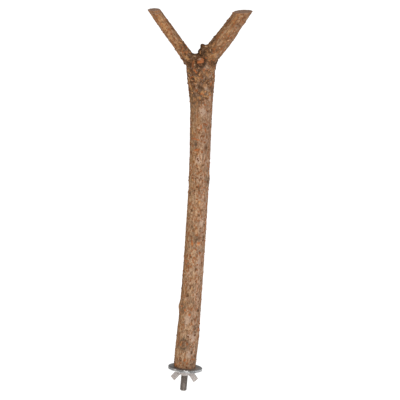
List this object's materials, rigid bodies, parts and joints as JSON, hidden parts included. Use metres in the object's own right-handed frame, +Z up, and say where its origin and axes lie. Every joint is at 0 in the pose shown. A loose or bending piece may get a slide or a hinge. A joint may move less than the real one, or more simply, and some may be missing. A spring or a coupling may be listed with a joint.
{
  "type": "forked branch bird perch",
  "caption": "Y-shaped cut tree branch with its bark on, held at its foot by a threaded stud whose wing nut clamps cage wires between wide flat washers.",
  "frame": {"origin": "on the bolt's axis, in the plane where the two washers meet", "axes": "+Z up the bolt's axis into the branch, +X towards the thicker arm in the plane of the fork, -Y towards the pruned stub at the front of the fork"},
  "size_m": [0.0912, 0.03, 0.3424],
  "materials": {
    "bark_wood": "dry brown bark with orange-brown pores, pale grey flecks and dark rugged patches, and weathered grey-brown sawn ends",
    "dark_steel": "dull brownish grey plain steel thread",
    "zinc_plate": "satin grey zinc plate with a brighter rim",
    "cast_zinc": "matt pale warm grey"
  },
  "bodies": {
    "perch": {"stem": "bark_wood", "left_arm": "bark_wood", "right_arm": "bark_wood", "hanger_bolt": "dark_steel", "upper_washer": "zinc_plate"},
    "washer_on_nut": {"lower_washer": "zinc_plate"},
    "nut": {"wing_nut": "cast_zinc"}
  },
  "joints": [
    {"name": "washer_travel", "type": "slide", "parent": "perch", "child": "washer_on_nut", "axis": [0, 0, -1], "range_m": [0, 0.01275]},
    {"name": "wing_nut_turn", "type": "hinge", "parent": "washer_on_nut", "child": "nut", "pos_m": [0, 0, -0.0036], "axis": [0, 0, -1], "range_deg": [0, 4600]}
  ],
  "couplings": [
    {"joint": "wing_nut_turn", "follows": "washer_travel", "rad_per_m": 6283.2}
  ]
}
